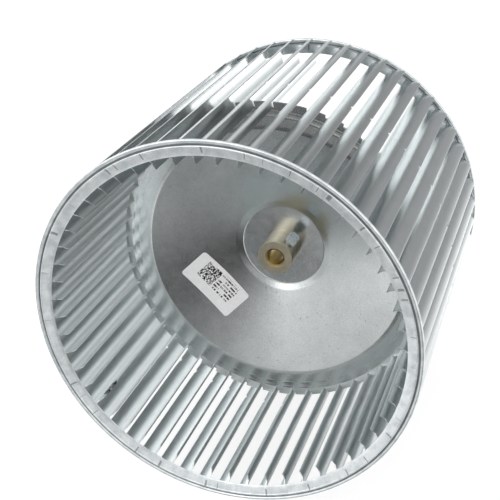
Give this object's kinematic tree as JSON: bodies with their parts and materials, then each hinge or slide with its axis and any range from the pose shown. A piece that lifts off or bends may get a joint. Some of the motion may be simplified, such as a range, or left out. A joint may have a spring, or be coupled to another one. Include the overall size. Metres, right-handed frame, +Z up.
{
  "type": "blower motor wheel",
  "caption": "Double-inlet forward-curved squirrel-cage blower wheel in galvanised steel, with a dished centre disc, a riveted hub and a square-head set screw.",
  "frame": {"origin": "on the bore axis, midway between the two end rings", "axes": "+Y along the bore axis from the hub side to the plain side, so the wheel turns about Y; +Z up"},
  "size_m": [0.2698, 0.2412, 0.2698],
  "materials": {
    "galvanised_ring": "galvanised, matt with a bright rolled bead",
    "galvanised_blade": "galvanised, smooth and reflective",
    "galvanised_disc": "galvanised, mottled satin",
    "yellow_zinc_steel": "turned, yellow zinc plated",
    "bright_zinc_steel": "bright zinc plated",
    "spring_steel": "spring steel with dark slots"
  },
  "bodies": {
    "wheel": {"front_end_ring": "galvanised_ring", "rear_end_ring": "galvanised_ring", "centre_disc": "galvanised_disc", "hub": "yellow_zinc_steel", "balance_clip": "spring_steel", "blade_01": "galvanised_blade", "blade_02": "galvanised_blade", "blade_03": "galvanised_blade", "blade_04": "galvanised_blade", "blade_05": "galvanised_blade", "blade_06": "galvanised_blade", "blade_07": "galvanised_blade", "blade_08": "galvanised_blade", "blade_09": "galvanised_blade", "blade_10": "galvanised_blade", "blade_11": "galvanised_blade", "blade_12": "galvanised_blade", "blade_13": "galvanised_blade", "blade_14": "galvanised_blade", "blade_15": "galvanised_blade", "blade_16": "galvanised_blade", "blade_17": "galvanised_blade", "blade_18": "galvanised_blade", "blade_19": "galvanised_blade", "blade_20": "galvanised_blade", "blade_21": "galvanised_blade", "blade_22": "galvanised_blade", "blade_23": "galvanised_blade", "blade_24": "galvanised_blade", "blade_25": "galvanised_blade", "blade_26": "galvanised_blade", "blade_27": "galvanised_blade", "blade_28": "galvanised_blade", "blade_29": "galvanised_blade", "blade_30": "galvanised_blade", "blade_31": "galvanised_blade", "blade_32": "galvanised_blade", "blade_33": "galvanised_blade", "blade_34": "galvanised_blade", "blade_35": "galvanised_blade", "blade_36": "galvanised_blade", "blade_37": "galvanised_blade", "blade_38": "galvanised_blade", "blade_39": "galvanised_blade", "blade_40": "galvanised_blade", "blade_41": "galvanised_blade", "blade_42": "galvanised_blade", "blade_43": "galvanised_blade", "blade_44": "galvanised_blade", "blade_45": "galvanised_blade", "blade_46": "galvanised_blade", "blade_47": "galvanised_blade", "blade_48": "galvanised_blade", "blade_49": "galvanised_blade", "blade_50": "galvanised_blade", "blade_51": "galvanised_blade", "blade_52": "galvanised_blade", "blade_53": "galvanised_blade", "blade_54": "galvanised_blade"},
    "screw": {"set_screw": "bright_zinc_steel"}
  },
  "joints": [
    {"name": "set_screw_travel", "type": "slide", "parent": "wheel", "child": "screw", "axis": [0.6428, 0, 0.766], "range_m": [-0.001, 0.005]}
  ]
}
